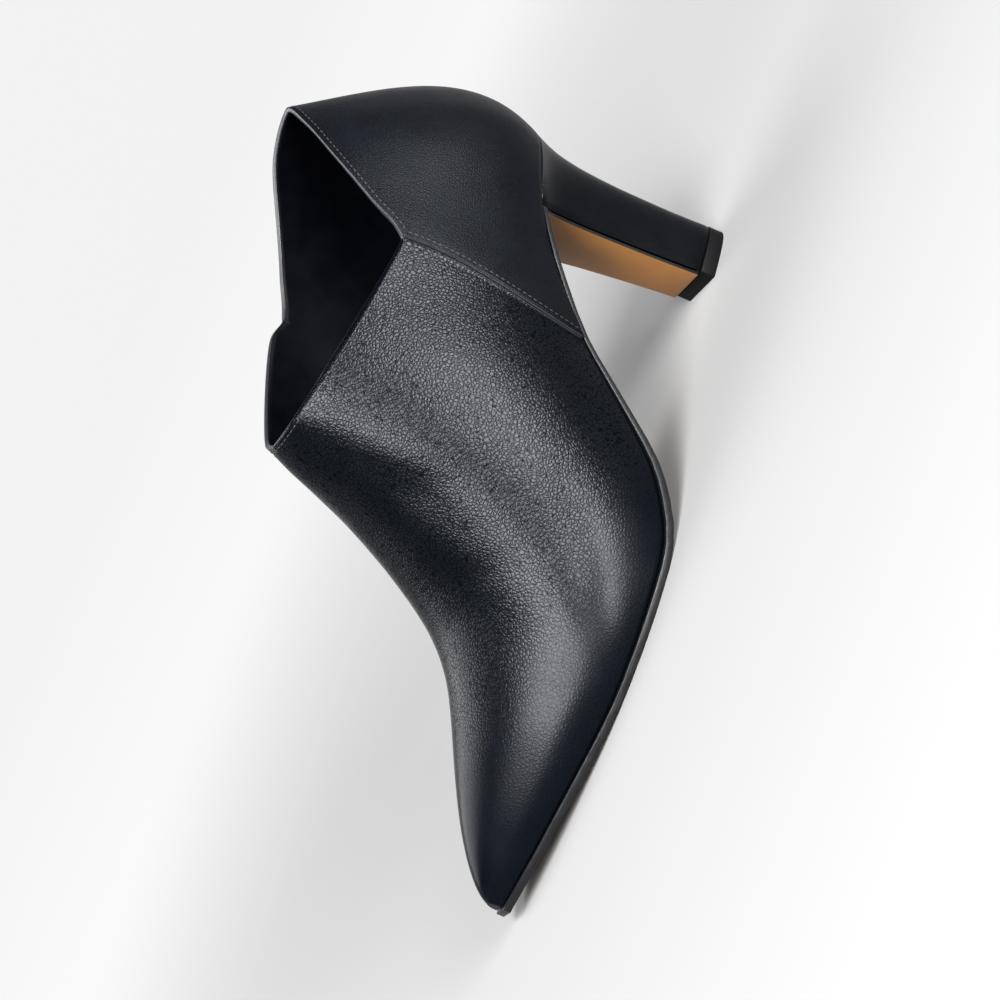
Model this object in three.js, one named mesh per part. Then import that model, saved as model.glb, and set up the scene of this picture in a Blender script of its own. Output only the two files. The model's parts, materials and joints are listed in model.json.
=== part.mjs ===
// A women's pointed-toe shootie for the left foot: a low ankle bootie with a deep V-notch
// on its outer side, a slim block heel and a thin leather sole.
// Millimetres, +Z up. While it is shaped, x runs forward from the back of the heel
// seat, y to the wearer's left, which is the outer side, and z up from the floor.
// At the end the whole shoe is set with the centre of its footprint at the origin.
import * as THREE from "three";
import { mergeVertices } from "three/addons/utils/BufferGeometryUtils.js";

// Driving sizes
const wall = 1.8; // leather and lining together
const gap = 0.3; // between pieces that are glued on the real shoe
const quarterLap = 1.1; // how far the quarter stands proud where it overlaps the vamp
const quarterLapFade = 26; // distance behind the seam over which that lap settles
const quarterBase = 0.15; // what is left of the lap round the heel
const soleEdge = 0.8; // how far the outsole stands out past the upper at the forefoot
const waistEdge = 0.2; // and at the waist
const soleGap = 0.45; // between the upper and the outsole, both curved
const soleThickness = 2.55;
const waistThickness = 1.6;
const breastFlapThickness = 1.2; // where the sole turns down the heel
const breastFlapMargin = 0.7; // heel cover showing beside that flap
const insoleThickness = 2.2;
const insoleLift = 0.15; // of its underside above the sole edge
const insoleClearance = 0.45; // between the insole's edge and the inside of the upper
const topPieceHeight = 5;
const toeSolidLength = 8; // the stiffened tip is filled for this length
const toeX = 250.8; // front of the upper
const seatBackX = 3.2; // back of the heel seat
const seatFrontX = 38.3; // where the heel's breast meets the sole
const seatHalf = 24.8; // half the width of the heel seat
const seatRound = 2.1; // how square the back of the seat is, 2 for an ellipse

// How finely the surfaces are divided
const wallSteps = 12; // from the sole edge to the ridge or topline
const rowSteps = 2; // between two rows of the upper's tables
const heelSteps = 2; // between two rows of the heel's table
const outlineSteps = 11; // from the breast to the back of the heel

// How the sections round the throat are eased into each other
const easePasses = 10;
const easePull = 0.5; // share of the way that a point goes, in a pass, to the middle of its neighbours
const easeAhead = 7; // sections that this reaches ahead of the throat
const easeBehind = 10; // and behind it
const easeRidge = 0.55; // share of the wall's height from which the ridge holds it back
const easeTopline = 0.75; // and from which the topline does

// The sole edge, where upper and sole meet, from the back of the heel to the toe.
// Round the heel seat, behind seatJoinX, its width follows the seat's own outline.
const seatJoinX = 32.4;
const edgeColumns = ["x", "z", "outerY", "innerY"];
const edgeRows = [
  [seatBackX, 73.3, 24.64, -24.64],
  [17.3, 70.9, 24.64, -24.64],
  [seatJoinX, 68.4, 24.64, -24.64],
  [49.1, 62.3, 25.6, -24.2],
  [65.9, 53.0, 27.2, -23.2],
  [82.7, 42.2, 29.6, -22.4],
  [93.5, 33.0, 31.8, -22.4],
  [105.3, 22.8, 34.2, -23.2],
  [117.1, 13.4, 36.6, -25.2],
  [129.0, 7.6, 38.7, -28.2],
  [143.0, 3.6, 40.2, -32.8],
  [151, 3.0, 40.2, -34.6],
  [168, 3.0, 37.8, -35.8],
  [188, 3.0, 31.0, -33.8],
  [200, 3.6, 25.4, -31.4],
  [214, 4.9, 17.4, -27.8],
  [228, 6.1, 8.0, -23.8],
  [238, 6.8, 0.4, -20.6],
  [245, 7.3, -5.6, -18.4],
  [249, 7.5, -9.6, -17.2],
  [toeX, 7.6, -11.8, -16.4],
];

// The closed part of the vamp, a row for each section from the toe to the throat.
//   footX  the section's place on the sole edge
//   topX, topZ, topY  the ridge
//   flareOuter, flareInner  lean of each wall at the sole edge, degrees outwards
//   rise  how far that lean is held, as a length up the wall
//   crown  how far the roundness of the ridge reaches to each side
//   facing  the way the walls face in plan, degrees from the toe
const vampColumns = [
  "footX", "topX", "topZ", "topY", "flareOuter", "flareInner", "rise", "crown", "facing",
];
const vampRows = [
  [toeX, 250.8, 11.2, -14.1, 0, 0, 1.8, 1.4, 60],
  [249, 249.1, 14.2, -13.7, 2, 2, 3.6, 2.2, 66],
  [245, 245.2, 18, -13, 4, 4, 6, 3.6, 72],
  [238, 238, 22.9, -12.2, 5, 5, 8.5, 5.2, 78],
  [228, 227.6, 28.1, -11.4, 6, 6, 11.5, 7.5, 82],
  [214, 213.2, 34, -10.2, 7, 7, 15, 10.5, 86],
  [200, 198.9, 39.5, -8.8, 8, 7, 18, 13, 88],
  [188, 187, 45.2, -7.8, 9, 7, 18, 14, 89],
  [178, 176, 54, -7.2, 9, 7, 18.7, 15.5, 90],
  [168, 166, 67.4, -6.8, 9, 7, 19.8, 16, 90],
  [159, 157.4, 81.7, -6.4, 9, 7, 21.2, 16, 90],
  [151, 149.6, 97.3, -6, 9, 8, 22.7, 15.6, 90],
  [144, 141.4, 118.9, -5.4, 9, 9, 24, 15, 90],
];

// The open part, a table for each side, from just behind the throat to the back of the
// heel. Rows lean back at the top so that one of them is the side seam.
//   footX  the section's place on the sole edge
//   topX, topZ, topY  the topline
//   flare, rise  as above
//   lean  slope of the wall at the topline, degrees from straight down
//   crown  how far that slope is held
//   facing  as above
const openColumns = ["footX", "topX", "topZ", "topY", "flare", "rise", "lean", "crown", "facing"];
const outerRows = [
  [141, 139.9, 118.3, 0.8, 9, 24.4, 45, 23.5, 90],
  [137, 137.2, 117.8, 6.3, 9, 24.9, 35.5, 28.5, 90],
  [129, 130, 116.3, 12, 10, 26, 27.5, 32, 90],
  [117.1, 115.2, 113.5, 19, 11, 28, 22, 32.5, 90],
  [104.3, 99.6, 110.4, 22.5, 12, 29.2, 17.5, 29, 90],
  [93.5, 85.2, 107.7, 24.8, 13, 27, 13, 23, 90],
  [82.7, 72.8, 105.7, 26.2, 15, 23, 11, 20, 91],
  [65.9, 64.8, 115.5, 24.2, 18, 21, 15, 20, 94],
  [49.1, 55.6, 125.9, 20.4, 21, 21.5, 21, 21, 98],
  [32.2, 47, 134.7, 15.4, 25, 23, 28, 23, 106],
  [17.3, 39.5, 141.4, 10.4, 29, 26, 33, 26, 126],
  [9.8, 34.6, 145.9, 6.4, 26, 28, 35, 29, 146],
  [4.9, 31, 148.8, 3, 28, 29.5, 36, 31, 164],
  [seatBackX, 29.6, 149.9, 0, 29, 30, 36, 32, 180],
];
const innerRows = [
  [141.5, 140.1, 119.1, -9.8, 9, 24.4, 41, 19.5, 90],
  [138.5, 137, 119.6, -14.4, 10, 25, 31, 25.5, 90],
  [132, 129.1, 121.1, -18.6, 11, 26.2, 22.5, 30.5, 90],
  [124, 116, 123.5, -23.5, 12, 27.8, 17.5, 33, 90],
  [115.1, 103.6, 125.9, -25.9, 13, 30, 14.2, 32, 90],
  [107.3, 94, 127.3, -26.8, 14, 32, 12, 29, 90],
  [98.4, 87, 124.8, -27.4, 16, 29, 10, 27, 90],
  [78.7, 75.7, 129.3, -27, 19, 26, 13, 25, 92],
  [58, 63.8, 134.5, -24.8, 22, 24, 19, 24, 96],
  [35.2, 52.5, 140.6, -20.2, 25, 24, 26, 24, 105],
  [17.8, 42.8, 146.2, -14.6, 29, 26, 32, 27, 126],
  [9.8, 36.2, 148.7, -8.8, 26, 28, 35, 29, 146],
  [4.9, 31.9, 149.7, -4, 28, 29.5, 36, 31, 164],
  [seatBackX, 29.6, 149.9, 0, 29, 30, 36, 32, 180],
];
const peakRow = vampRows.length - 1; // the throat, where the topline starts
const seamRow = peakRow + 7; // the row that is the side seam
const backRow = peakRow + outerRows.length;

// The heel, a row for each height from the top piece to the seat
//   up  share of the way from the top piece to the seat
//   backX, frontX  back of the heel and its breast
//   half  half the width at the breast
//   round  how square the outline is, 2 for an ellipse
const heelColumns = ["up", "backX", "frontX", "half", "round"];
const heelRows = [
  [0, 8.2, 29.3, 9.9, 3.2],
  [0.2, 8.9, 30.4, 10.4, 3.1],
  [0.45, 9.0, 31.8, 11.5, 2.9],
  [0.66, 8.4, 33.0, 12.8, 2.7],
  [0.82, 7.0, 34.4, 15.0, 2.5],
  [0.92, 5.2, 36.0, 18.2, 2.4],
  [1, seatBackX, seatFrontX, seatHalf - 0.4, seatRound],
];

// Colours read from the photograph
const leather = new THREE.MeshStandardMaterial({ color: 0x1a1c21, roughness: 0.5, metalness: 0 });
const heelLeather = new THREE.MeshStandardMaterial({ color: 0x14161a, roughness: 0.5, metalness: 0 });
const soleLeather = new THREE.MeshStandardMaterial({ color: 0xc28a4a, roughness: 0.5, metalness: 0 });
const liftRubber = new THREE.MeshStandardMaterial({ color: 0x0c0c0d, roughness: 0.6, metalness: 0 });
const sockLining = new THREE.MeshStandardMaterial({ color: 0x0d0d10, roughness: 0.8, metalness: 0 });

const radians = THREE.MathUtils.degToRad;
const lerp = THREE.MathUtils.lerp;
const point = (x, y, z) => new THREE.Vector3(x, y, z);
const along = (from, direction, length) => from.clone().addScaledVector(direction, length);
const spread = (from, to, steps) => Array.from({ length: steps + 1 }, (_, n) => lerp(from, to, n / steps));

function tableOf(columns, rows) {
  return rows.map((row) => Object.fromEntries(columns.map((name, k) => [name, row[k]])));
}

// Smooth curve through one column of a table, with no overshoot between its rows.
function columnCurve(keys, values) {
  const rise = values.slice(1).map((v, k) => (v - values[k]) / (keys[k + 1] - keys[k]));
  const slope = values.map((_, k) => {
    if (k === 0) return rise[0];
    if (k === values.length - 1) return rise[k - 1];
    const [a, b] = [rise[k - 1], rise[k]];
    if (a * b <= 0) return 0;
    const [before, after] = [keys[k] - keys[k - 1], keys[k + 1] - keys[k]];
    const [w1, w2] = [2 * after + before, after + 2 * before];
    return (w1 + w2) / (w1 / a + w2 / b);
  });
  return (key) => {
    const next = keys.findIndex((edge, n) => n > 0 && key <= edge);
    const k = next < 0 ? keys.length - 2 : next - 1;
    const span = keys[k + 1] - keys[k];
    const t = (key - keys[k]) / span;
    const [t2, t3] = [t * t, t * t * t];
    return (2 * t3 - 3 * t2 + 1) * values[k] + (t3 - 2 * t2 + t) * span * slope[k]
      + (3 * t2 - 2 * t3) * values[k + 1] + (t3 - t2) * span * slope[k + 1];
  };
}

function curvesOf(columns, keys, rows) {
  return Object.fromEntries(columns.map((name) => [name, columnCurve(keys, rows.map((row) => row[name]))]));
}

// Half the width, at x, of an outline that is flat at the front and round at the back.
function roundedHalf(x, backX, frontX, half, round) {
  const share = THREE.MathUtils.clamp((frontX - x) / (frontX - backX), 0, 1);
  return half * (1 - share ** round) ** (1 / round);
}

const edgeTable = tableOf(edgeColumns, edgeRows);
const edgeCurves = curvesOf(edgeColumns, edgeTable.map((row) => row.x), edgeTable);
const edgeZ = (x) => edgeCurves.z(x);
function edgeY(x, side) {
  if (x < seatJoinX) return side * roundedHalf(x, seatBackX, seatFrontX, seatHalf, seatRound);
  return side > 0 ? edgeCurves.outerY(x) : edgeCurves.innerY(x);
}

// Triangles gathered from quads and fans. Corners that coincide are left out.
class Skin {
  constructor() {
    this.corners = [];
  }

  triangle(a, b, c) {
    const apart = 1e-5;
    if (a.distanceTo(b) < apart || b.distanceTo(c) < apart || c.distanceTo(a) < apart) return;
    for (const p of [a, b, c]) this.corners.push(p.x, p.y, p.z);
  }

  quad(a, b, c, d) {
    this.triangle(a, b, c);
    this.triangle(a, c, d);
  }

  fan(points) {
    for (let k = 1; k < points.length - 1; k++) this.triangle(points[0], points[k], points[k + 1]);
  }

  // A band between two rings of points, which close on themselves.
  band(ring, next) {
    ring.forEach((p, k) => {
      const m = (k + 1) % ring.length;
      this.quad(p, ring[m], next[m], next[k]);
    });
  }

  mesh(name, material) {
    const loose = new THREE.BufferGeometry();
    loose.setAttribute("position", new THREE.Float32BufferAttribute(this.corners, 3));
    const geometry = mergeVertices(loose, 1e-3);
    geometry.computeVertexNormals();
    const made = new THREE.Mesh(geometry, material);
    made.name = name;
    return made;
  }
}

// The upper's own function: a section of one side, at a table row or between two of them.
function sideTable(side, rows) {
  const flare = side > 0 ? "flareOuter" : "flareInner";
  const closed = tableOf(vampColumns, vampRows).map((row) => ({ ...row, flare: row[flare], lean: 90 }));
  return [...closed, ...tableOf(openColumns, rows)];
}
const sideTables = { 1: sideTable(1, outerRows), [-1]: sideTable(-1, innerRows) };
const mirrored = (row) => ({ ...row, topY: -row.topY, facing: 360 - row.facing });
const upperKeys = [0];
for (let k = 1; k <= backRow + 1; k++) {
  const move = (table, name) => {
    const [a, b] = k <= backRow ? [table[k], table[k - 1]] : [table[backRow], table[backRow - 1]];
    return Math.hypot(a[`${name}X`] - b[`${name}X`], (a.topZ - b.topZ) * (name === "top" ? 1 : 0));
  };
  const moves = [1, -1].flatMap((side) => ["foot", "top"].map((name) => move(sideTables[side], name)));
  upperKeys.push(upperKeys[k - 1] + Math.max(2, moves.reduce((sum, m) => sum + m, 0) / 4));
}
const sideCurves = Object.fromEntries([1, -1].map((side) => {
  const rows = [...sideTables[side], mirrored(sideTables[side][backRow - 1])];
  return [side, curvesOf(openColumns, upperKeys, rows)];
}));
// Behind the peak of the throat, the topline of one side runs on from that of the other.
const toplineColumns = ["topX", "topY", "topZ", "lean"];
const toplineCurves = Object.fromEntries([1, -1].map((side) => {
  const across = sideTables[-side][peakRow + 1];
  const before = 2 * upperKeys[peakRow] - upperKeys[peakRow + 1];
  const own = [...sideTables[side].slice(peakRow), mirrored(sideTables[side][backRow - 1])];
  const rows = [{ ...across, lean: 180 - across.lean }, ...own];
  return [side, curvesOf(toplineColumns, [before, ...upperKeys.slice(peakRow)], rows)];
}));
function section(key, side) {
  const row = Object.fromEntries(openColumns.map((name) => [name, sideCurves[side][name](key)]));
  if (key > upperKeys[peakRow]) {
    for (const name of toplineColumns) row[name] = toplineCurves[side][name](key);
    return row;
  }
  row.lean = 90;
  for (const name of ["topX", "topY", "topZ"]) {
    row[name] = (sideCurves[1][name](key) + sideCurves[-1][name](key)) / 2;
  }
  return row;
}

// One wall of a section, side 1 for the outer wall and -1 for the inner one, as points
// from the sole edge up to the ridge or topline.
function wallCurve(key, side) {
  const row = section(key, side);
  const facing = radians(row.facing);
  const outwards = point(Math.cos(facing), side * Math.sin(facing), 0);
  const crosswise = row.lean > 89.9 ? point(0, side, 0) : outwards;
  const up = point(0, 0, 1);
  const flare = radians(row.flare);
  const lean = radians(row.lean);
  const foot = point(row.footX, edgeY(row.footX, side), edgeZ(row.footX));
  const top = point(row.topX, row.topY, row.topZ);
  const footHold = along(along(foot, up, row.rise * Math.cos(flare)), outwards, row.rise * Math.sin(flare));
  const topHold = along(along(top, up, -row.crown * Math.cos(lean)), crosswise, row.crown * Math.sin(lean));
  return new THREE.CubicBezierCurve3(foot, footHold, topHold, top).getPoints(wallSteps);
}

// All sections, with the tables' rows kept and others added between them.
const sections = upperKeys.slice(0, backRow).flatMap((key, k) =>
  spread(key, upperKeys[k + 1], rowSteps).slice(0, -1));
sections.push(upperKeys[backRow]);
const peak = peakRow * rowSteps;
const seam = seamRow * rowSteps;
const last = sections.length - 1;

// Round the throat each section is eased into its neighbours, so that the instep is one smooth
// surface. The sole edge, the ridge and the topline stay as they are.
function easedWalls(side) {
  const { smoothstep } = THREE.MathUtils;
  const shareAt = (i, up) => {
    const away = i < peak ? (peak - i) / easeAhead : (i - peak) / easeBehind;
    const held = i <= peak ? smoothstep(up, easeRidge, 0.95) : smoothstep(up, easeTopline, 1);
    return easePull * (1 - smoothstep(away, 0.4, 1)) * (1 - held);
  };
  let rows = sections.map((key) => wallCurve(key, side));
  for (let pass = 0; pass < easePasses; pass++) {
    rows = rows.map((row, i) => row.map((p, j) => {
      const share = shareAt(i, j / wallSteps);
      if (j === 0 || share === 0) return p;
      return p.clone().lerp(rows[i - 1][j].clone().lerp(rows[i + 1][j], 0.5), share);
    }));
  }
  return rows;
}
const walls = { 1: easedWalls(1), [-1]: easedWalls(-1) };

// Outward direction of the upper at a section and a step up one of its walls.
function outwardAt(side, i, j) {
  const [own, other] = [walls[side], walls[-side]];
  const back = i === last ? other[i - 1][j] : own[i + 1][j];
  const front = i === 0 ? own[0][j] : own[i - 1][j];
  const atTop = i < peak ? other[i][j - 1] : own[i][j];
  const above = j < wallSteps ? own[i][j + 1] : atTop;
  const below = j > 0 ? own[i][j - 1] : own[i][j];
  const normal = back.clone().sub(front).cross(above.clone().sub(below)).multiplyScalar(side);
  if (i === last) normal.y = 0;
  return normal.normalize();
}
const outward = Object.fromEntries([1, -1].map((side) =>
  [side, walls[side].map((wallPoints, i) => wallPoints.map((_, j) => outwardAt(side, i, j)))]));

// The ridge and the middle of the back belong to both walls, so they share a direction.
for (let i = 0; i <= last; i++) {
  const shared = spread(0, wallSteps, wallSteps).filter((j) => i === last || (i <= peak && j === wallSteps));
  for (const j of shared) {
    const both = outward[1][i][j].clone().add(outward[-1][i][j]).normalize();
    outward[1][i][j] = both;
    outward[-1][i][j] = both;
  }
}

// How far the quarter's surface stands out at a section behind the seam.
function lapAt(i) {
  const fade = THREE.MathUtils.smoothstep(sections[i] - sections[seam], 0, quarterLapFade);
  return lerp(quarterLap, quarterBase, fade);
}

function makeUpper() {
  const skin = new Skin();
  const cavity = sections.findIndex((key) => section(key, 1).footX < toeX - toeSolidLength);
  const shifted = (side, i, distance) => walls[side][i].map((p, j) => along(p, outward[side][i][j], distance));
  // Each ring of the shell holds the outside and inside of both walls at a section.
  // The seam appears twice, once at the vamp's surface and once at the quarter's.
  const ring = (i, lap) => ({
    i,
    outer: shifted(1, i, lap),
    inner: shifted(-1, i, lap),
    outerLining: shifted(1, i, -wall),
    innerLining: shifted(-1, i, -wall),
  });
  const rings = [];
  for (let i = 0; i <= last; i++) {
    if (i <= seam) rings.push(ring(i, 0));
    if (i >= seam) rings.push(ring(i, lapAt(i)));
  }
  const strip = (a, b) => {
    for (let j = 0; j < wallSteps; j++) skin.quad(a[j], b[j], b[j + 1], a[j + 1]);
  };
  for (let k = 0; k < rings.length - 1; k++) {
    const [a, b] = [rings[k], rings[k + 1]];
    strip(a.outer, b.outer);
    strip(b.inner, a.inner);
    if (a.i < cavity) {
      skin.quad(a.inner[0], b.inner[0], b.outer[0], a.outer[0]);
      continue;
    }
    strip(b.outerLining, a.outerLining);
    strip(a.innerLining, b.innerLining);
    skin.quad(a.outerLining[0], b.outerLining[0], b.outer[0], a.outer[0]);
    skin.quad(a.inner[0], b.inner[0], b.innerLining[0], a.innerLining[0]);
    if (a.i < peak) continue;
    const rim = wallSteps;
    skin.quad(a.outer[rim], b.outer[rim], b.outerLining[rim], a.outerLining[rim]);
    skin.quad(a.innerLining[rim], b.innerLining[rim], b.inner[rim], a.inner[rim]);
  }
  const arch = (one, other) => [...one, ...other.slice(0, -1).reverse()];
  skin.fan(arch(rings[0].outer, rings[0].inner));
  const start = rings.find((r) => r.i === cavity);
  skin.fan(arch(start.innerLining, start.outerLining));
  skin.quad(start.outer[0], start.inner[0], start.innerLining[0], start.outerLining[0]);
  return skin.mesh("upper", leather);
}

// A plate lofted along stations, each with four corners: the outer and inner edge of its
// upper face, then of its lower face. Each face is split along the middle.
function platePiece(name, material, stations) {
  const skin = new Skin();
  const rings = stations.map(({ upper, lower }) => {
    const middle = (pair) => pair[0].clone().lerp(pair[1], 0.5);
    return [upper[0], middle(upper), upper[1], lower[1], middle(lower), lower[0]];
  });
  for (let k = 0; k < rings.length - 1; k++) skin.band(rings[k + 1], rings[k]);
  skin.fan(rings[0]);
  skin.fan([...rings[rings.length - 1]].reverse());
  return skin.mesh(name, material);
}

// The sole's rungs run back from the toe to the heel seat, then down the breast. Each has
// a place in the plane of the profile, its two edges and a thickness.
const heelTable = tableOf(heelColumns, heelRows);
const heelCurves = curvesOf(heelColumns, heelTable.map((row) => row.up), heelTable);
const heelBottom = topPieceHeight + gap;
const heelZ = (up, x) => lerp(heelBottom, edgeZ(x) - gap, up);

function makeOutsole() {
  const rungs = [];
  const soleXs = edgeTable.map((row) => row.x).filter((x) => x > seatFrontX + 6).reverse();
  const finer = soleXs.flatMap((x, k) => (k ? [(x + soleXs[k - 1]) / 2, x] : [x]));
  for (const x of finer) {
    const forefoot = THREE.MathUtils.smoothstep(x, 80, 135);
    const overhang = lerp(waistEdge, soleEdge, forefoot);
    rungs.push({
      x: x === toeX ? x + soleEdge : x,
      z: edgeZ(x) - soleGap,
      outer: edgeY(x, 1) + overhang,
      inner: edgeY(x, -1) - overhang,
      thickness: lerp(waistThickness, soleThickness, forefoot),
    });
  }
  const fold = seatFrontX + 1.2;
  rungs.push({
    x: fold,
    z: edgeZ(fold) - soleGap - 0.4,
    outer: edgeY(fold, 1) - 1.2,
    inner: edgeY(fold, -1) + 1.2,
    thickness: 1.5,
  });
  for (const up of [0.93, 0.86, 0.78, 0.68, 0.56, 0.42, 0.28, 0.14, 0.005]) {
    const x = heelCurves.frontX(up) + gap;
    const half = heelCurves.half(up) - breastFlapMargin;
    rungs.push({ x, z: heelZ(up, x), outer: half, inner: -half, thickness: breastFlapThickness });
  }
  // Lower face: each rung is moved square to the profile, on the mitre where it folds.
  const way = (a, b) => new THREE.Vector2(b.x - a.x, b.z - a.z).normalize();
  return platePiece("outsole", soleLeather, rungs.map((rung, k) => {
    const before = k ? way(rungs[k - 1], rung) : way(rung, rungs[k + 1]);
    const after = k < rungs.length - 1 ? way(rung, rungs[k + 1]) : before;
    const heading = before.clone().add(after).normalize();
    const reach = rung.thickness / Math.max(0.5, heading.dot(before));
    const down = point(-heading.y * reach, 0, heading.x * reach);
    const upper = [point(rung.x, rung.outer, rung.z), point(rung.x, rung.inner, rung.z)];
    return { upper, lower: upper.map((p) => p.clone().add(down)) };
  }));
}

function makeInsole() {
  const inset = wall + insoleClearance;
  const backX = seatBackX + inset + 0.2;
  const frontX = toeX - toeSolidLength - 3;
  const round = spread(0, 1, 11).slice(0, -1).map((t) => lerp(backX, seatJoinX, t ** 2));
  const edgeXs = edgeTable.map((row) => row.x).filter((x) => x >= seatJoinX && x < frontX - 2);
  const finer = edgeXs.flatMap((x, k) => (k ? [(x + edgeXs[k - 1]) / 2, x] : [x]));
  const sideAt = (x, side) => {
    if (x <= seatJoinX) return side * roundedHalf(x, backX - 0.05, seatFrontX, seatHalf - inset, seatRound);
    const slope = (edgeY(x + 1, side) - edgeY(x - 1, side)) / 2;
    return edgeY(x, side) - side * inset * Math.hypot(1, slope);
  };
  return platePiece("insole", sockLining, [...round, ...finer, frontX].reverse().map((x) => {
    const face = (z) => [point(x, sideAt(x, 1), z), point(x, sideAt(x, -1), z)];
    return { upper: face(edgeZ(x) + insoleLift + insoleThickness), lower: face(edgeZ(x) + insoleLift) };
  }));
}

// Outline of the heel at one height: the breast, then round the back from one side to the other.
function heelOutline(up, zAt) {
  const { backX, frontX, half, round } = Object.fromEntries(
    heelColumns.map((name) => [name, heelCurves[name](up)]));
  const turns = spread(0, Math.PI / 2, outlineSteps);
  const side = turns.map((turn) => {
    const x = lerp(frontX, backX, Math.sin(turn) ** (2 / round));
    return [x, turn >= Math.PI / 2 - 1e-9 ? 0 : half * Math.cos(turn) ** (2 / round)];
  });
  const there = side.map(([x, y]) => point(x, y, zAt(x)));
  const andBack = side.slice(0, -1).reverse().map(([x, y]) => point(x, -y, zAt(x)));
  return [...there, ...andBack];
}

// A lid over a heel outline, as strips between its two sides.
function lid(skin, ring, facesUp) {
  const n = ring.length;
  for (let k = 0; k < outlineSteps; k++) {
    const [a, b, c, d] = [ring[k], ring[k + 1], ring[n - 2 - k], ring[n - 1 - k]];
    if (facesUp) skin.quad(a, b, c, d);
    else skin.quad(d, c, b, a);
  }
}

function makeHeel() {
  const skin = new Skin();
  const ups = heelTable.slice(1).flatMap((row, k) =>
    spread(heelTable[k].up, row.up, heelSteps).slice(0, -1));
  const rings = [...ups, 1].map((up) => heelOutline(up, (x) => heelZ(up, x)));
  for (let k = 0; k < rings.length - 1; k++) skin.band(rings[k], rings[k + 1]);
  lid(skin, rings[0], false);
  lid(skin, rings[rings.length - 1], true);
  return skin.mesh("heel", heelLeather);
}

function makeTopPiece() {
  const skin = new Skin();
  const [low, high] = [0, topPieceHeight].map((z) => heelOutline(0, () => z));
  skin.band(low, high);
  lid(skin, low, false);
  lid(skin, high, true);
  return skin.mesh("top_piece", liftRubber);
}

const shoe = new THREE.Group();
shoe.add(makeUpper(), makeInsole(), makeOutsole(), makeHeel(), makeTopPiece());

const footprint = new THREE.Box3().setFromObject(shoe);
const centre = footprint.getCenter(new THREE.Vector3());
shoe.position.set(-centre.x, -centre.y, 0);

export default shoe;
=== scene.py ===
import json
import math

import bpy
import numpy as np
from mathutils import Matrix, Vector
from mathutils.bvhtree import BVHTree

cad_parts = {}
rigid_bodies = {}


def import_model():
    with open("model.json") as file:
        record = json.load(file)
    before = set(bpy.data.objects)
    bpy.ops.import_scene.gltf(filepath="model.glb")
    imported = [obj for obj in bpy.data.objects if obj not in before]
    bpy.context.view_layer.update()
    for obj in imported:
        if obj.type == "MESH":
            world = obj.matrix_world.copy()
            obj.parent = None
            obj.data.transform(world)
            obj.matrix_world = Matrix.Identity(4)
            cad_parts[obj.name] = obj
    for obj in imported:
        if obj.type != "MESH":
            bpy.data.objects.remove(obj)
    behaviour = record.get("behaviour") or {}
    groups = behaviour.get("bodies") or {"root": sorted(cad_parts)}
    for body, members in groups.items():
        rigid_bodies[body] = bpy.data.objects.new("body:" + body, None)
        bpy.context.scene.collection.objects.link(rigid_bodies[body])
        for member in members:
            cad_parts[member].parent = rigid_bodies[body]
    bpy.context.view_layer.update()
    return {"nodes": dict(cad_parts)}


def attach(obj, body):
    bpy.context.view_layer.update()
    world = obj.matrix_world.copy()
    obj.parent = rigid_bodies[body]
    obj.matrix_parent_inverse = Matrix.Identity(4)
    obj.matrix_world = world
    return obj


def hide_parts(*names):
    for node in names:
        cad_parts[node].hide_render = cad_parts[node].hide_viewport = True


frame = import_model()
mm = 0.001
white = (1.0, 1.0, 1.0)
noiseMiddle = (0.3, 0.7)  # where most of a noise's values lie
noiseWide = (0.2, 0.8)
bevelAngle = math.radians(50)  # edges sharper than this are rounded
smoothAngle = math.radians(40)  # and those sharper than this stay crisp in shading
shoeOrigin = (125.035, 2.2, 0.0)  # the frame's origin, in the shoe's own sizes


# Shoe sizes are millimetres forward from the heel seat, towards the outer side, and up from the floor
def shoePoint(x, y, z):
    return Vector((x - shoeOrigin[0], y - shoeOrigin[1], z - shoeOrigin[2])) * mm


def shoeSizes(piece):
    flat = np.empty(len(piece.data.vertices) * 3)
    piece.data.vertices.foreach_get("co", flat)
    return flat.reshape(-1, 3) / mm + np.array(shoeOrigin)


def smoothStep(low, high, values):
    share = np.clip((values - low) / (high - low), 0.0, 1.0)
    return share * share * (3.0 - 2.0 * share)


# Small helpers for working as by hand
def objectMode():
    if bpy.context.mode != "OBJECT":
        bpy.ops.object.mode_set(mode="OBJECT")


def pickNothing():
    objectMode()
    bpy.ops.object.select_all(action="DESELECT")


def pickOnly(piece):
    pickNothing()
    piece.select_set(True)
    bpy.context.view_layer.objects.active = piece


def editNothing(piece, mode="FACE"):
    pickOnly(piece)
    bpy.ops.object.mode_set(mode="EDIT")
    bpy.ops.mesh.select_mode(type=mode)
    bpy.ops.mesh.select_all(action="DESELECT")


def pickFaces(piece, wanted):
    editNothing(piece)
    bpy.ops.object.mode_set(mode="OBJECT")
    for face in piece.data.polygons:
        face.select = bool(wanted(face))
    bpy.ops.object.mode_set(mode="EDIT")


def assignPicked(piece, slotNumber):
    piece.active_material_index = slotNumber
    bpy.ops.object.material_slot_assign()
    objectMode()


copyLook = {"weld": 0.004 * mm, "flat": math.radians(50), "square": math.radians(70)}


def copyNode(nodeName, pieceName):
    piece = bpy.data.objects.new(pieceName, frame["nodes"][nodeName].data.copy())
    bpy.context.scene.collection.objects.link(piece)
    piece.data.materials.clear()
    pickOnly(piece)
    bpy.ops.mesh.customdata_custom_splitnormals_clear()
    bpy.ops.object.mode_set(mode="EDIT")
    bpy.ops.mesh.select_all(action="SELECT")
    bpy.ops.mesh.remove_doubles(threshold=copyLook["weld"])
    bpy.ops.mesh.tris_convert_to_quads(face_threshold=copyLook["flat"], shape_threshold=copyLook["square"])
    objectMode()
    return piece


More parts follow.
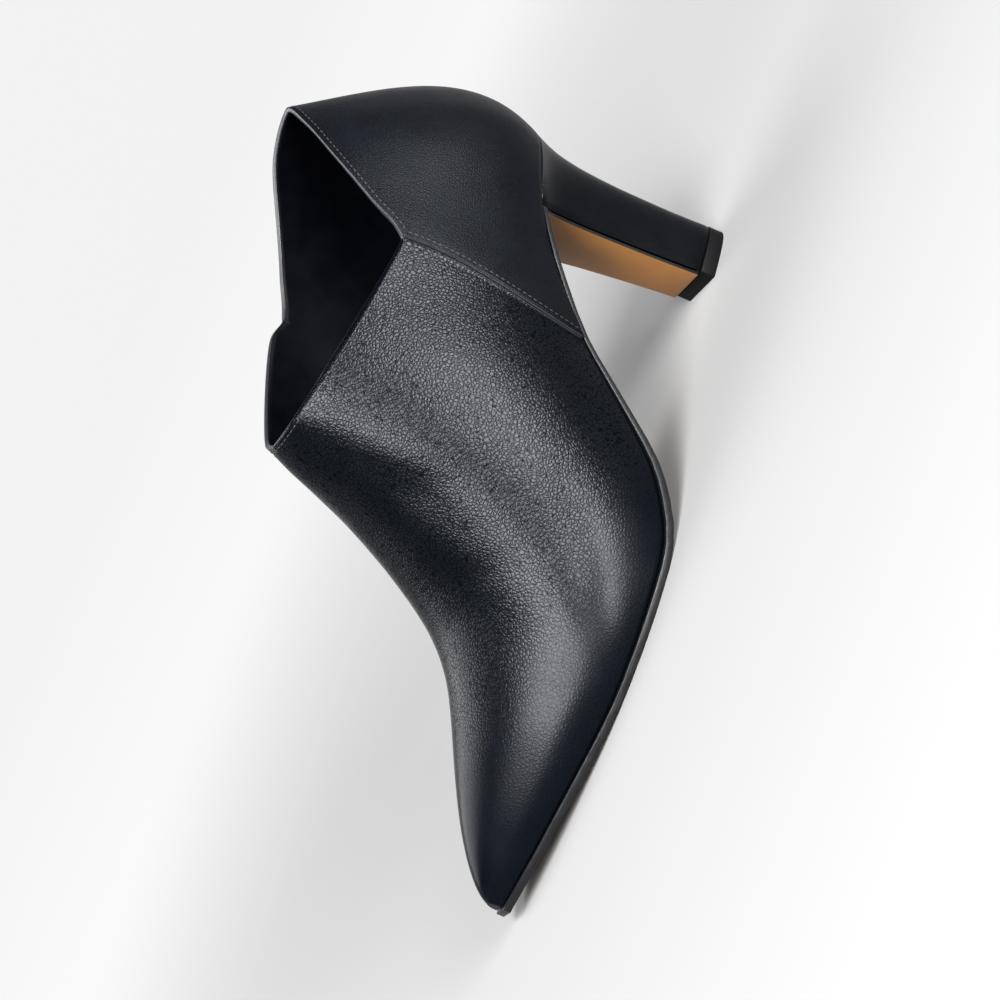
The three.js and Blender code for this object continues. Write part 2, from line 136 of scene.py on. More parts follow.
def applyModifier(piece, kind, **settings):
    pickOnly(piece)
    modifier = piece.modifiers.new(kind.title(), kind)
    for name, value in settings.items():
        setattr(modifier, name, value)
    bpy.ops.object.modifier_apply(modifier=modifier.name)


def settle(piece, nodeName):
    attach(piece, "root")
    if nodeName:
        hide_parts(nodeName)


# Node helpers for the finishes
class Finish:
    def __init__(self, name):
        self.material = bpy.data.materials.new(name)
        self.material.use_nodes = True
        self.tree = self.material.node_tree
        self.shader = self.tree.nodes["Principled BSDF"]

    def add(self, kind, **settings):
        node = self.tree.nodes.new(kind)
        for name, value in settings.items():
            setattr(node, name, value)
        return node

    def feed(self, source, target):
        self.tree.links.new(source, target)

    def place(self, node, socket, value):
        if isinstance(value, bpy.types.NodeSocket):
            self.feed(value, node.inputs[socket])
        else:
            node.inputs[socket].default_value = value

    def coordinates(self):
        return self.add("ShaderNodeTexCoord").outputs["Object"]

    def noise(self, where, size, detail=3.0, roughness=0.55):
        node = self.add("ShaderNodeTexNoise")
        self.feed(where, node.inputs["Vector"])
        node.inputs["Scale"].default_value = 1.0 / size
        node.inputs["Detail"].default_value = detail
        node.inputs["Roughness"].default_value = roughness
        return node

    def cracks(self, where, size):
        node = self.add("ShaderNodeTexVoronoi", feature="DISTANCE_TO_EDGE")
        self.feed(where, node.inputs["Vector"])
        node.inputs["Scale"].default_value = 1.0 / size
        return node.outputs["Distance"]

    def warped(self, where, size, amount):
        wobble = self.noise(where, size, detail=2.0)
        centred = self.add("ShaderNodeVectorMath", operation="SUBTRACT")
        self.feed(wobble.outputs["Color"], centred.inputs[0])
        centred.inputs[1].default_value = (0.5, 0.5, 0.5)
        scaled = self.add("ShaderNodeVectorMath", operation="MULTIPLY_ADD")
        self.feed(centred.outputs[0], scaled.inputs[0])
        scaled.inputs[1].default_value = (amount, amount, amount)
        self.feed(where, scaled.inputs[2])
        return scaled.outputs[0]

    def stretched(self, where, scale, turn=(0.0, 0.0, 0.0)):
        node = self.add("ShaderNodeMapping", vector_type="TEXTURE")
        self.feed(where, node.inputs["Vector"])
        node.inputs["Rotation"].default_value = turn
        node.inputs["Scale"].default_value = scale
        return node.outputs["Vector"]

    def remap(self, value, low, high, toLow=0.0, toHigh=1.0):
        node = self.add("ShaderNodeMapRange", interpolation_type="SMOOTHSTEP")
        self.feed(value, node.inputs["Value"])
        node.inputs["From Min"].default_value = low
        node.inputs["From Max"].default_value = high
        node.inputs["To Min"].default_value = toLow
        node.inputs["To Max"].default_value = toHigh
        return node.outputs["Result"]

    def maths(self, operation, first, second):
        node = self.add("ShaderNodeMath", operation=operation)
        self.place(node, 0, first)
        self.place(node, 1, second)
        return node.outputs["Value"]

    def attribute(self, name):
        return self.add("ShaderNodeAttribute", attribute_name=name).outputs["Fac"]

    def tint(self, share, dark, light):
        node = self.add("ShaderNodeMix", data_type="RGBA")
        self.feed(share, node.inputs["Factor"])
        for socket in node.inputs:
            if socket.type == "RGBA":
                socket.default_value = (*(dark if socket.name == "A" else light), 1.0)
        return next(out for out in node.outputs if out.type == "RGBA")

    def shaded(self, colour, shade):
        node = self.add("ShaderNodeMix", data_type="RGBA", blend_type="MULTIPLY")
        node.inputs["Factor"].default_value = 1.0
        for socket in node.inputs:
            if socket.type == "RGBA":
                self.feed(colour if socket.name == "A" else shade, socket)
        return next(out for out in node.outputs if out.type == "RGBA")

    def bump(self, height, depth, below=None):
        node = self.add("ShaderNodeBump")
        self.feed(height, node.inputs["Height"])
        node.inputs["Distance"].default_value = depth
        if below is not None:
            self.feed(below, node.inputs["Normal"])
        return node.outputs["Normal"]

    def finish(self, colour, roughness, normal, sheen, tint=white):
        self.place(self.shader, "Base Color", colour)
        self.place(self.shader, "Roughness", roughness)
        if normal is not None:
            self.feed(normal, self.shader.inputs["Normal"])
        self.place(self.shader, "Specular IOR Level", sheen)
        self.place(self.shader, "Specular Tint", (*tint, 1.0))
        return self.material


vampLeather = {
    "pebble": 1.12 * mm,
    "warpSize": 1.1 * mm,
    "warp": 0.6 * mm,
    "crackShare": 0.12,
    "domeShare": 0.36,
    "fine": 0.42 * mm,
    "fineDetail": 4.0,
    "fineRoughness": 0.6,
    "cloud": 14 * mm,
    "cloudShade": (0.78, 0.8, 0.84),
    "cloudRoughness": 0.06,
    "pebbleDepth": 0.038 * mm,
    "fineDepth": 0.004 * mm,
    # painted shade: the cracks between the pebbles are coloured darker
    "crackShadeColour": (0.0001, 0.0002, 0.0004),
    "topColour": (0.0003, 0.0008, 0.0018),
    "roughness": 0.25,
    "crackRoughness": 0.1,
    "sheen": 0.12,  # of a pebble's top
    "crackShade": 0.88,  # painted shade: share of the sheen that a crack loses
    "lowToeShade": 0.7,  # painted shade: sheen left on the toe and low on the sides, where the grain fades
    "lowToeShadeSpread": (0.3, 0.9),  # grain where the sheen starts to rise and where it is whole
    "uneven": (0.84, 1.14),  # sheen of the dullest and the brightest spot
    "tint": (0.92, 0.935, 1.0),
}


def makeVampLeather(name, sizes):
    finish = Finish(name)
    where = finish.coordinates()
    grain = finish.attribute("grain")
    bent = finish.warped(where, sizes["warpSize"], sizes["warp"])
    borders = finish.cracks(bent, sizes["pebble"])
    domes = finish.remap(borders, 0.0, sizes["domeShare"])
    pebbles = finish.remap(borders, 0.0, sizes["crackShare"])
    raised = finish.maths("MULTIPLY", domes, grain)
    cracked = finish.maths("MULTIPLY", finish.maths("SUBTRACT", 1.0, pebbles), grain)
    fine = finish.noise(where, sizes["fine"], sizes["fineDetail"], sizes["fineRoughness"])
    cloudy = finish.noise(where, sizes["cloud"])
    # painted shade: the cracks darken the leather's colour
    colour = finish.tint(cracked, sizes["topColour"], sizes["crackShadeColour"])
    dusk = finish.tint(finish.remap(cloudy.outputs["Fac"], *noiseMiddle), sizes["cloudShade"], white)
    colour = finish.shaded(colour, dusk)
    crackRough = finish.maths("MULTIPLY", cracked, sizes["crackRoughness"])
    cloudRough = finish.maths("MULTIPLY", cloudy.outputs["Fac"], sizes["cloudRoughness"])
    rough = finish.maths("ADD", finish.maths("ADD", sizes["roughness"], crackRough), cloudRough)
    uneven = finish.remap(fine.outputs["Fac"], *noiseMiddle, *sizes["uneven"])
    # painted shade: the sheen is dulled in the cracks
    lit = finish.maths("SUBTRACT", 1.0, finish.maths("MULTIPLY", cracked, sizes["crackShade"]))
    sheen = finish.maths("MULTIPLY", finish.maths("MULTIPLY", lit, uneven), sizes["sheen"])
    # painted shade: the sheen is lowered on the toe and low on the sides
    kept = finish.remap(grain, *sizes["lowToeShadeSpread"], sizes["lowToeShade"], 1.0)
    sheen = finish.maths("MULTIPLY", sheen, kept)
    low = finish.bump(fine.outputs["Fac"], sizes["fineDepth"])
    normal = finish.bump(raised, sizes["pebbleDepth"], low)
    return finish.finish(colour, rough, normal, sheen, sizes["tint"])


quarterLeather = {
    "grain": 0.85 * mm,
    "grainDepth": 0.045 * mm,
    "streak": 0.55 * mm,
    "streakDepth": 0.05 * mm,
    "dark": (0.0003, 0.0005, 0.0011),
    "light": (0.0005, 0.0009, 0.0018),
    "roughness": (0.36, 0.46),
    "sheen": 0.085,
    "tint": (0.9, 0.935, 1.0),
}
heelLeather = {
    "grain": 0.55 * mm,
    "grainDepth": 0.02 * mm,
    "streakDepth": 0.0,
    "dark": (0.0003, 0.0004, 0.0008),
    "light": (0.0005, 0.0008, 0.0014),
    "roughness": (0.26, 0.34),
    "sheen": 0.09,
    "tint": (0.94, 0.97, 1.0),
}
smoothLook = {
    "warpSize": 0.6 * mm,
    "warp": 0.4 * mm,
    "crackShare": 0.3,
    "cloud": 12 * mm,
    "colourSpread": (0.25, 0.75),
    "streakStretch": (1.0, 1.0, 9.0),
    "streakTurn": (0.0, math.radians(-23), 0.0),
}


def makeSmoothLeather(name, sizes):
    finish = Finish(name)
    where = finish.coordinates()
    bent = finish.warped(where, smoothLook["warpSize"], smoothLook["warp"])
    grain = finish.remap(finish.cracks(bent, sizes["grain"]), 0.0, smoothLook["crackShare"])
    cloudy = finish.noise(where, smoothLook["cloud"])
    cloud = finish.remap(cloudy.outputs["Fac"], *smoothLook["colourSpread"])
    colour = finish.tint(cloud, sizes["dark"], sizes["light"])
    rough = finish.remap(cloudy.outputs["Fac"], *noiseWide, *sizes["roughness"])
    normal = finish.bump(grain, sizes["grainDepth"])
    if sizes["streakDepth"]:
        along = finish.stretched(where, smoothLook["streakStretch"], smoothLook["streakTurn"])
        streaks = finish.noise(along, sizes["streak"])
        normal = finish.bump(streaks.outputs["Fac"], sizes["streakDepth"], normal)
    return finish.finish(colour, rough, normal, sizes["sheen"], sizes["tint"])


liningLook = {
    "cloud": 9 * mm,
    "cloudDetail": 4.0,
    "dark": (0.0002, 0.0003, 0.0006),
    "light": (0.0006, 0.0007, 0.0014),
    "roughness": (0.42, 0.58),
    "fine": 0.35 * mm,
    "fineDepth": 0.02 * mm,
    "sheen": 0.04,
}


def makeLining(name, sizes):
    finish = Finish(name)
    where = finish.coordinates()
    cloudy = finish.noise(where, sizes["cloud"], sizes["cloudDetail"])
    colour = finish.tint(cloudy.outputs["Fac"], sizes["dark"], sizes["light"])
    fine = finish.noise(where, sizes["fine"])
    rough = finish.remap(cloudy.outputs["Fac"], *noiseWide, *sizes["roughness"])
    normal = finish.bump(fine.outputs["Fac"], sizes["fineDepth"])
    return finish.finish(colour, rough, normal, sizes["sheen"])


tanLook = {
    "fibre": 1.2 * mm,
    "fibreStretch": (5.0, 1.0, 1.0),
    "fibreDetail": 5.0,
    "fibreRoughness": 0.65,
    "fibreDepth": 0.05 * mm,
    "dark": (0.155, 0.064, 0.0135),
    "light": (0.22, 0.098, 0.023),
    "cloud": 18 * mm,
    "cloudShade": (0.86, 0.84, 0.82),
    "roughness": (0.42, 0.58),
    "sheen": 0.4,
}


def makeSoleLeather(name, sizes):
    finish = Finish(name)
    where = finish.coordinates()
    along = finish.stretched(where, sizes["fibreStretch"])
    fibres = finish.noise(along, sizes["fibre"], sizes["fibreDetail"], sizes["fibreRoughness"])
    cloudy = finish.noise(where, sizes["cloud"])
    colour = finish.tint(fibres.outputs["Fac"], sizes["dark"], sizes["light"])
    shade = finish.tint(finish.remap(cloudy.outputs["Fac"], *noiseMiddle), sizes["cloudShade"], white)
    colour = finish.shaded(colour, shade)
    rough = finish.remap(fibres.outputs["Fac"], *noiseMiddle, *sizes["roughness"])
    normal = finish.bump(fibres.outputs["Fac"], sizes["fibreDepth"])
    return finish.finish(colour, rough, normal, sizes["sheen"])


# Folded leather edge, inked sole edge, lift rubber and thread: one noise colours and raises each
# painted highlight: the folded edge is coloured lighter and given more sheen than the leather beside it,
# for the light line along the rolled edges
foldHighlightLook = {
    "grain": 0.7 * mm,
    "detail": 4.0,
    "stretch": (1.0, 1.0, 1.0),
    "dark": (0.0025, 0.003, 0.0042),
    "light": (0.007, 0.008, 0.0105),
    "spread": noiseWide,
    "roughness": (0.3, 0.48),
    "depth": 0.05 * mm,
    "sheen": 0.38,
}
inkLook = {
    "grain": 0.6 * mm,
    "detail": 4.0,
    "stretch": (6.0, 6.0, 1.0),
    "dark": (0.0012, 0.0013, 0.0016),
    "light": (0.004, 0.0042, 0.005),
    "spread": noiseMiddle,
    "roughness": (0.32, 0.46),
    "depth": 0.05 * mm,
    "sheen": 0.22,
}
rubberLook = {
    "grain": 0.5 * mm,
    "detail": 3.0,
    "stretch": (1.0, 1.0, 1.0),
    "dark": (0.0005, 0.0005, 0.0007),
    "light": (0.0018, 0.0018, 0.0021),
    "spread": noiseMiddle,
    "roughness": (0.45, 0.6),
    "depth": 0.03 * mm,
    "sheen": 0.08,
}
threadLook = {
    "grain": 0.25 * mm,
    "detail": 2.0,
    "stretch": (1.0, 1.0, 1.0),
    "dark": (0.0016, 0.0019, 0.0027),
    "light": (0.006, 0.0066, 0.0085),
    "roughness": 0.55,
    "depth": 0.06 * mm,
    "sheen": 0.4,
}


def makePlainFinish(name, sizes):
    finish = Finish(name)
    along = finish.stretched(finish.coordinates(), sizes["stretch"])
    grain = finish.noise(along, sizes["grain"], sizes["detail"]).outputs["Fac"]
    colour = finish.tint(grain, sizes["dark"], sizes["light"])
    rough = sizes["roughness"]
    if "spread" in sizes:
        rough = finish.remap(grain, *sizes["spread"], *rough)
    normal = finish.bump(grain, sizes["depth"])
    return finish.finish(colour, rough, normal, sizes["sheen"])


leatherPebbled = makeVampLeather("pebbledLeather", vampLeather)
leatherSmooth = makeSmoothLeather("smoothLeather", quarterLeather)
leatherHeel = makeSmoothLeather("heelLeather", heelLeather)
liningSkin = makeLining("liningSkin", liningLook)
soleLeather = makeSoleLeather("soleLeather", tanLook)
litFoldedEdge = makePlainFinish("litFoldedEdge", foldHighlightLook)
edgeInk = makePlainFinish("edgeInk", inkLook)
rubber = makePlainFinish("rubber", rubberLook)
thread = makePlainFinish("thread", threadLook)
print("finishes made")


# The upper: the built wall, parted along its sharp edges into panels
upperLook = {
    "sharpAngle": math.radians(38),
    "crease": 0.75,
    "levels": 2,
    "facingShare": 0.6,  # how nearly a face looks the way that is asked for
    # a place on each panel and the way that it faces there
    "vampPlace": ((150, 28, 55), (0.3, 0.9, 0.3)),
    "quarterPlace": ((40, 28, 85), (0.0, 1.0, 0.0)),
    "rimPlace": ((115, 18, 113), (0.0, 0.0, 1.0)),
    "outerLapPlace": ((78, 27, 80), (1.0, 0.0, 0.0)),
    "innerLapPlace": ((92, -26, 80), (1.0, 0.0, 0.0)),
}
liningSlot, vampSlot, quarterSlot, rimSlot, lapSlot = range(5)


def nearestFace(piece, place, facing):
    target = shoePoint(*place)
    way = Vector(facing).normalized()
    faces = [face for face in piece.data.polygons if face.normal.dot(way) > upperLook["facingShare"]]
    return min(faces, key=lambda face: (face.center - target).length).index


def paintPatch(piece, placeAndFacing, slotNumber):
    seed = nearestFace(piece, *placeAndFacing)
    pickFaces(piece, lambda face: face.index == seed)
    bpy.ops.mesh.select_linked(delimit={"SEAM"})
    assignPicked(piece, slotNumber)
    count = sum(face.material_index == slotNumber for face in piece.data.polygons)
    print("  panel", slotNumber, "has", count, "faces")


def makeUpper():
    upper = copyNode("upper", "leather_upper")
    # the rim and the laps get the folded edge with its painted highlight
    for material in (liningSkin, leatherPebbled, leatherSmooth, litFoldedEdge, litFoldedEdge):
        upper.data.materials.append(material)
    editNothing(upper, "EDGE")
    bpy.ops.mesh.edges_select_sharp(sharpness=upperLook["sharpAngle"])
    bpy.ops.mesh.mark_seam()
    bpy.ops.transform.edge_crease(value=upperLook["crease"])
    objectMode()
    panels = (("vampPlace", vampSlot), ("quarterPlace", quarterSlot), ("rimPlace", rimSlot),
              ("outerLapPlace", lapSlot), ("innerLapPlace", lapSlot))
    for place, slotNumber in panels:
        paintPatch(upper, upperLook[place], slotNumber)
    applyModifier(upper, "SUBSURF", levels=upperLook["levels"], render_levels=upperLook["levels"])
    pickOnly(upper)
    bpy.ops.object.shade_smooth()
    return upper


# Where the pebbled grain is stretched smooth: towards the toe, and low on the sides, in shoe sizes. The
# same mask lowers the sheen there as painted shade, and scales the painted shade in the cracks.
grainAndShadeLook = {
    "toe": (202, 242),
    "low": (5, 31),
    "lowSlope": 0.18,  # the low band climbs by this slope, forward of lowStart
    "lowStart": 130,
    "lowLeft": 0.25,  # share of the grain that is left low down
    "least": 0.22,
}


def paintGrainAndShade(upper):
    x, z = shoeSizes(upper).T[[0, 2]]
    above = z - grainAndShadeLook["lowSlope"] * (x - grainAndShadeLook["lowStart"])
    toeFade = 1.0 - smoothStep(*grainAndShadeLook["toe"], x)
    lowFade = grainAndShadeLook["lowLeft"] + (1.0 - grainAndShadeLook["lowLeft"]) * smoothStep(*grainAndShadeLook["low"], above)
    grain = np.clip(grainAndShadeLook["least"] + (1.0 - grainAndShadeLook["least"]) * toeFade * lowFade, 0.0, 1.0)
    layer = upper.data.attributes.new("grain", "FLOAT", "POINT")
    layer.data.foreach_set("value", grain.astype(np.float32))


# Soft troughs, each along a few places on the leather, with width and depth in shoe sizes
creaseSteps = 60
creaseEase = 0.6  # how soon a trough deepens from its ends
creases = [
    {"along": ((141, 5, 104), (145, 12, 90), (150, 18, 71), (157, 21, 56)), "width": 7.0, "depth": 0.6},
    {"along": ((150, 8, 84), (144, 26, 71), (135, 37, 56)), "width": 8.0, "depth": 0.35},
    {"along": ((133, 37, 40), (147, 36, 31), (161, 35, 23), (176, 33, 18)), "width": 5.5, "depth": 0.6},
    {"along": ((169, 0, 60), (166, 15, 51), (160, 26, 42)), "width": 6.0, "depth": 0.4},
    {"along": ((178, -14, 46), (176, 3, 50), (171, 18, 42)), "width": 4.0, "depth": 0.25},
    {"along": ((166, -24, 44), (158, -32, 30), (148, -35, 20)), "width": 6.0, "depth": 0.4},
    {"along": ((104, 36, 40), (112, 37, 34), (121, 39, 24)), "width": 6.0, "depth": 0.35},
]


def pressCreases(upper):
    outside = np.zeros(len(upper.data.vertices), dtype=bool)
    for face in upper.data.polygons:
        if face.material_index == vampSlot:
            outside[list(face.vertices)] = True
    sizes = shoeSizes(upper)
    normals = np.empty(len(sizes) * 3)
    upper.data.vertices.foreach_get("normal", normals)
    moved = np.zeros(len(sizes))
    for crease in creases:
        stops = np.array(crease["along"], dtype=float)
        share = np.linspace(0.0, len(stops) - 1.0, creaseSteps)
        parts = [np.interp(share, range(len(stops)), column) for column in stops.T]
        line = np.stack(parts, axis=1)
        fade = np.sin(np.linspace(0.0, math.pi, creaseSteps)) ** creaseEase
        apart = np.linalg.norm(sizes[:, None, :] - line[None, :, :], axis=2)
        press = fade[None, :] * np.exp(-(apart / crease["width"]) ** 2)
        moved = moved + crease["depth"] * press.max(axis=1)
    moved[~outside] = 0.0
    pressed = sizes - normals.reshape(-1, 3) * moved[:, None]
    upper.data.vertices.foreach_set("co", ((pressed - shoeOrigin) * mm).ravel())
    upper.data.update()


upper = makeUpper()
pressCreases(upper)
paintGrainAndShade(upper)
settle(upper, "upper")
print("upper", len(upper.data.polygons), "faces")


# Sole, heel, lift and sock
def roundEdges(piece, sizes):
    width, steps = sizes["edgeRound"], sizes["edgeSteps"]
    applyModifier(piece, "BEVEL", width=width, segments=steps, angle_limit=bevelAngle)
    if "swell" in sizes:
        editNothing(piece)
        bpy.ops.mesh.select_all(action="SELECT")
        bpy.ops.transform.shrink_fatten(value=sizes["swell"])
    pickOnly(piece)
    bpy.ops.object.shade_smooth_by_angle(angle=smoothAngle)


soleLook = {
    "edgeRound": 0.25 * mm,
    "edgeSteps": 2,
    "underTurn": -0.35,  # tan faces look down by more than this
    "flapTurn": 0.5,  # or forward by more than this, behind flapFront
    "flapFront": 60,
    "sideTurn": 0.6,  # and never sideways by more than this
}
inkSlot, tanSlot = range(2)


def makeOutsole():
    sole = copyNode("outsole", "leather_outsole")
    for material in (edgeInk, soleLeather):
        sole.data.materials.append(material)
    flapLimit = shoePoint(soleLook["flapFront"], 0, 0).x

    def isTan(face):
        under = face.normal.z < soleLook["underTurn"]
        onFlap = face.normal.x > soleLook["flapTurn"] and face.center.x < flapLimit
        return abs(face.normal.y) < soleLook["sideTurn"] and (under or onFlap)

    pickFaces(sole, isTan)
    assignPicked(sole, tanSlot)
    roundEdges(sole, soleLook)
    return sole


heelLook = {"sharpAngle": math.radians(40), "crease": 0.85, "levels": 2, "smoothAngle": math.radians(45)}


def makeHeel():
    heel = copyNode("heel", "covered_heel")
    heel.data.materials.append(leatherHeel)
    editNothing(heel, "EDGE")
    bpy.ops.mesh.edges_select_sharp(sharpness=heelLook["sharpAngle"])
    bpy.ops.transform.edge_crease(value=heelLook["crease"])
    objectMode()
    applyModifier(heel, "SUBSURF", levels=heelLook["levels"], render_levels=heelLook["levels"])
    pickOnly(heel)
    bpy.ops.object.shade_smooth_by_angle(angle=heelLook["smoothAngle"])
    return heel


liftLook = {"edgeRound": 0.5 * mm, "edgeSteps": 3}


def makeTopPiece():
    lift = copyNode("top_piece", "heel_lift")
    lift.data.materials.append(rubber)
    roundEdges(lift, liftLook)
    return lift


sockLook = {
    "edgeRound": 0.2 * mm,
    "edgeSteps": 2,
    "swell": 0.2 * mm,  # shuts the slit of light beside it
}


def makeSock():
    sock = copyNode("insole", "leather_sock")
    sock.data.materials.append(liningSkin)
    roundEdges(sock, sockLook)
    return sock


settle(makeOutsole(), "outsole")
settle(makeHeel(), "heel")
settle(makeTopPiece(), "top_piece")
settle(makeSock(), "insole")
print("sole, heel, lift and sock made")


# Stitch rows beside the topline and the lapped seam
stitchLook = {
    "length": 1.55 * mm,
    "pitch": 2.0 * mm,
    "radius": 0.24 * mm,
    "sides": 6,
    "rings": 4,
    "flatness": 0.8,
    "sink": 0.05 * mm,
    "trim": 1.0 * mm,  # bare length at each end of a row
    "ahead": 0.4 * mm,  # how far on the row's direction is read
    "toplineInset": 1.7 * mm,
    "lapInset": 2.1 * mm,
}


def borderPath(piece, panelSlot, edgeSlot):
    mesh = piece.data
    sides = {}
    for face in mesh.polygons:
        if face.material_index in (panelSlot, edgeSlot):
            for key in face.edge_keys:
                sides.setdefault(key, []).append(face)
    links = {}
    inward = {}
    for (first, second), faces in sides.items():
        if sorted(face.material_index for face in faces) == sorted((panelSlot, edgeSlot)):
            links.setdefault(first, []).append(second)
            links.setdefault(second, []).append(first)
            panel = next(face for face in faces if face.material_index == panelSlot)
            for index in (first, second):
                towards = panel.center - mesh.vertices[index].co
                inward[index] = inward.get(index, Vector()) + towards
    paths = []
    left = set(links)
    while left:
        ends = [index for index in sorted(left) if len(links[index]) == 1]
        walk = [ends[0] if ends else min(left)]
        left.discard(walk[0])
        while True:
            onward = [index for index in links[walk[-1]] if index in left]
            if not onward:
                break
            walk.append(onward[0])
            left.discard(onward[0])
        paths.append([(mesh.vertices[index].co.copy(), inward[index]) for index in walk])
    return sorted(paths, key=len, reverse=True)


def insetPath(path, inset):
    points = []
    for number, (point, towards) in enumerate(path):
        before = path[max(number - 1, 0)][0]
        after = path[min(number + 1, len(path) - 1)][0]
        along = (after - before).normalized()
        side = towards - along * towards.dot(along)
        if side.length > 0:
            points.append(point + side.normalized() * inset)
    return points


def makeStitch():
    pickNothing()
    sides, rings = stitchLook["sides"], stitchLook["rings"]
    bpy.ops.mesh.primitive_uv_sphere_add(segments=sides, ring_count=rings, radius=stitchLook["radius"])
    stitch = bpy.context.object
    bpy.ops.object.mode_set(mode="EDIT")
    bpy.ops.mesh.select_all(action="SELECT")
    bpy.ops.transform.rotate(value=math.radians(90), orient_axis="Y", center_override=(0, 0, 0))
    stretch = stitchLook["length"] / 2 / stitchLook["radius"]
    bpy.ops.transform.resize(value=(stretch, 1.0, stitchLook["flatness"]))
    objectMode()
    return stitch


def sewRow(piece, points, name):
    stitch = makeStitch()
    skin = BVHTree.FromObject(piece, bpy.context.evaluated_depsgraph_get())
    steps = [0.0]
    for before, after in zip(points, points[1:]):
        steps.append(steps[-1] + (after - before).length)
    flat = np.array([tuple(point) for point in points])
    spots = np.arange(stitchLook["trim"], steps[-1] - stitchLook["trim"], stitchLook["pitch"])
    copies = []
    for spot in spots:
        centre = Vector([np.interp(spot, steps, column) for column in flat.T])
        ahead = Vector([np.interp(spot + stitchLook["ahead"], steps, column) for column in flat.T])
        place, normal = skin.find_nearest(centre)[:2]
        along = (ahead - centre).normalized()
        across = normal.cross(along).normalized()
        along = across.cross(normal).normalized()
        turn = Matrix((along, across, normal)).transposed().to_4x4()
        twin = bpy.data.objects.new(name, stitch.data.copy())
        bpy.context.scene.collection.objects.link(twin)
        twin.matrix_world = Matrix.Translation(place - normal * stitchLook["sink"]) @ turn
        copies.append(twin)
    bpy.data.objects.remove(stitch)
    pickNothing()
    for twin in copies:
        twin.select_set(True)
    row = copies[0]
    bpy.context.view_layer.objects.active = row
    bpy.ops.object.join()
    bpy.ops.object.transform_apply(location=True, rotation=True, scale=True)
    bpy.ops.object.shade_smooth()
    row.name = name
    row.data.materials.clear()
    row.data.materials.append(thread)
    settle(row, None)
    print("  row", name, len(copies), "stitches")


def sewAll():
    toplines = ((vampSlot, "vamp_topline_stitches"), (quarterSlot, "quarter_topline_stitches"))
    for panelSlot, name in toplines:
        topline = borderPath(upper, panelSlot, rimSlot)[0]
        sewRow(upper, insetPath(topline, stitchLook["toplineInset"]), name)
    for number, path in enumerate(borderPath(upper, quarterSlot, lapSlot)[:2]):  # outer and inner side
        sewRow(upper, insetPath(path, stitchLook["lapInset"]), "lap_stitches_%d" % (number + 1))


sewAll()
print("stitched")


# Pale floor, soft light and the camera
floorLook = {
    "radius": 1.7,
    "sweep": 0.9,
    "steps": 8,
    "wall": 0.8,
    "nearColour": (0.18, 0.18, 0.1795),
    "farColour": (0.04, 0.04, 0.04),
    "nearReach": 0.16,  # metres from the shoe, where the paper starts to glow of its own
    "farReach": 0.8,
    "glow": 0.8,
    "sides": 96,
    "roughness": 0.85,
    "sheen": 0.05,
}


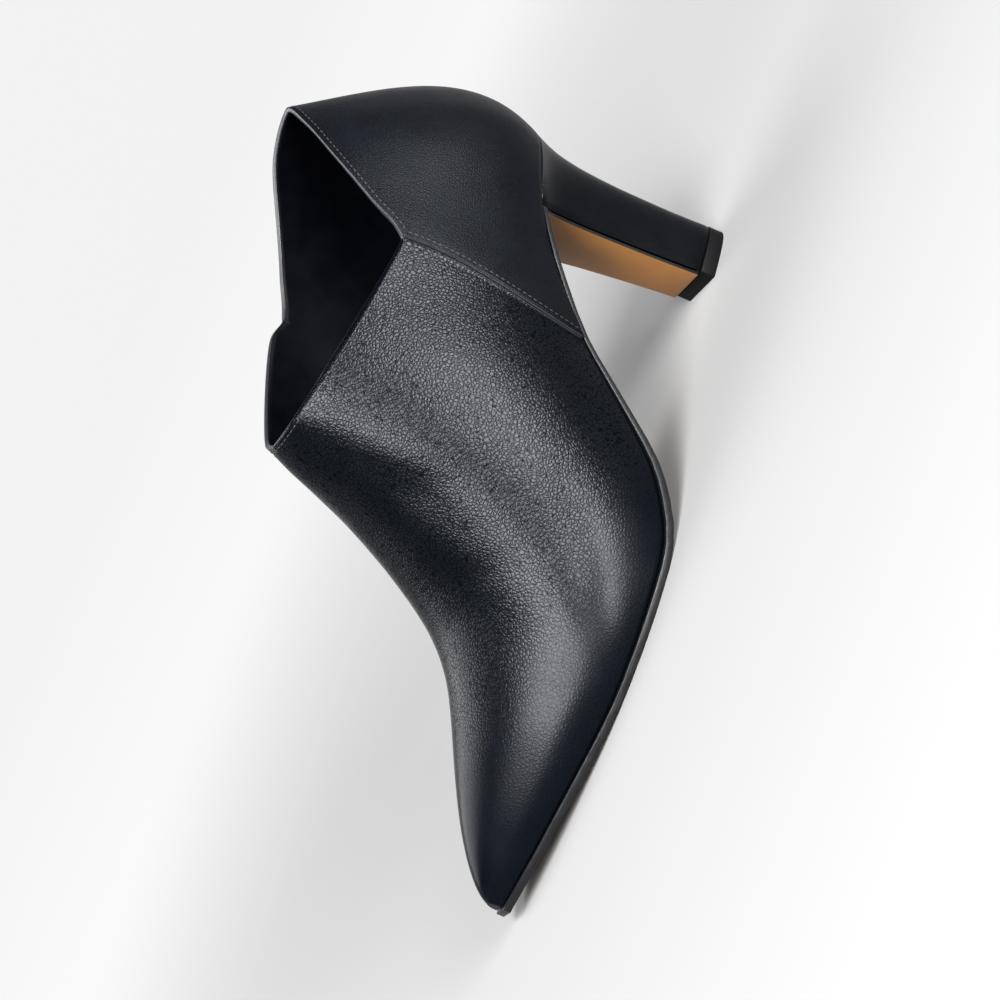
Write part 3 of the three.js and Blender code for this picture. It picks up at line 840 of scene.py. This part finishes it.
def makeFloor():
    pickNothing()
    radius = floorLook["radius"]
    sweep = floorLook["sweep"]
    bpy.ops.mesh.primitive_circle_add(vertices=floorLook["sides"], radius=radius, fill_type="NGON")
    floor = bpy.context.object
    floor.name = "floor"
    bpy.ops.object.mode_set(mode="EDIT")
    bpy.ops.mesh.select_mode(type="EDGE")
    bpy.ops.mesh.select_all(action="SELECT")
    bpy.ops.mesh.region_to_loop()
    turns = np.radians(np.linspace(0.0, 90.0, floorLook["steps"] + 1))
    rises = [sweep * (1 - math.cos(turn)) for turn in turns]
    reaches = [radius + sweep * math.sin(turn) for turn in turns]
    rises.append(rises[-1] + floorLook["wall"])
    reaches.append(reaches[-1])
    for number in range(1, len(rises)):
        rise = rises[number] - rises[number - 1]
        bpy.ops.mesh.extrude_region_move(TRANSFORM_OT_translate={"value": (0.0, 0.0, rise)})
        spread = reaches[number] / reaches[number - 1]
        bpy.ops.transform.resize(value=(spread, spread, 1.0), center_override=(0, 0, 0))
    bpy.ops.mesh.select_all(action="SELECT")
    bpy.ops.mesh.faces_shade_smooth()
    objectMode()
    finish = Finish("paleFloor")
    where = finish.coordinates()
    reach = finish.add("ShaderNodeVectorMath", operation="LENGTH")
    finish.feed(where, reach.inputs[0])
    away = finish.remap(reach.outputs["Value"], floorLook["nearReach"], floorLook["farReach"])
    colour = finish.tint(away, floorLook["nearColour"], floorLook["farColour"])
    finish.place(finish.shader, "Emission Color", (*white, 1.0))
    finish.place(finish.shader, "Emission Strength", finish.maths("MULTIPLY", away, floorLook["glow"]))
    floor.data.materials.append(finish.finish(colour, floorLook["roughness"], None, floorLook["sheen"]))
    finish.material.cycles.emission_sampling = "NONE"  # the glow is only a backdrop, not a lamp


worldLook = {"colour": (0.90, 0.97, 1.05), "strength": 0.08}
lightLook = {  # azimuth and height of each soft box as seen from the shoe, degrees; sizes in metres
    "tallBox": {"azimuth": 60.0, "height": 46.0, "distance": 2.0, "size": (0.7, 1.4), "power": 155.0},
    "lowBox": {"azimuth": 101.0, "height": 16.0, "distance": 2.0, "size": (1.2, 0.6), "power": 120.0},
    "fillBox": {"azimuth": -65.0, "height": 52.0, "distance": 2.0, "size": (1.5, 1.2), "power": 55.0},
}


def makeLights():
    world = bpy.data.worlds.new("studio")
    bpy.context.scene.world = world
    world.use_nodes = True
    back = world.node_tree.nodes["Background"]
    back.inputs["Color"].default_value = (*worldLook["colour"], 1.0)
    back.inputs["Strength"].default_value = worldLook["strength"]
    for name, box in lightLook.items():
        azimuth = math.radians(box["azimuth"])
        height = math.radians(box["height"])
        level = math.cos(height)
        away = Vector((math.cos(azimuth) * level, math.sin(azimuth) * level, math.sin(height)))
        turn = away.to_track_quat("Z", "Y").to_euler()
        pickNothing()
        bpy.ops.object.light_add(type="AREA", location=away * box["distance"], rotation=turn)
        light = bpy.context.object
        light.name = name
        light.data.shape = "RECTANGLE"
        light.data.size, light.data.size_y = box["size"]
        light.data.energy = box["power"]


cameraLook = {
    "place": (0.40997, 0.78927, 0.2421),
    "turn": (60.0583, 64.4554, 125.4607),
    "lens": 105.05,
    "sensor": 36.0,
    "bounces": 5,  # enough for dark leather, and quicker
}


def makeCamera():
    pickNothing()
    turn = [math.radians(part) for part in cameraLook["turn"]]
    bpy.ops.object.camera_add(location=cameraLook["place"], rotation=turn)
    camera = bpy.context.object
    camera.data.lens = cameraLook["lens"]
    camera.data.sensor_width = cameraLook["sensor"]
    bpy.context.scene.camera = camera
    bpy.context.scene.view_settings.view_transform = "Standard"
    bpy.context.scene.cycles.max_bounces = cameraLook["bounces"]


makeFloor()
makeLights()
makeCamera()
print("floor, light and camera set")
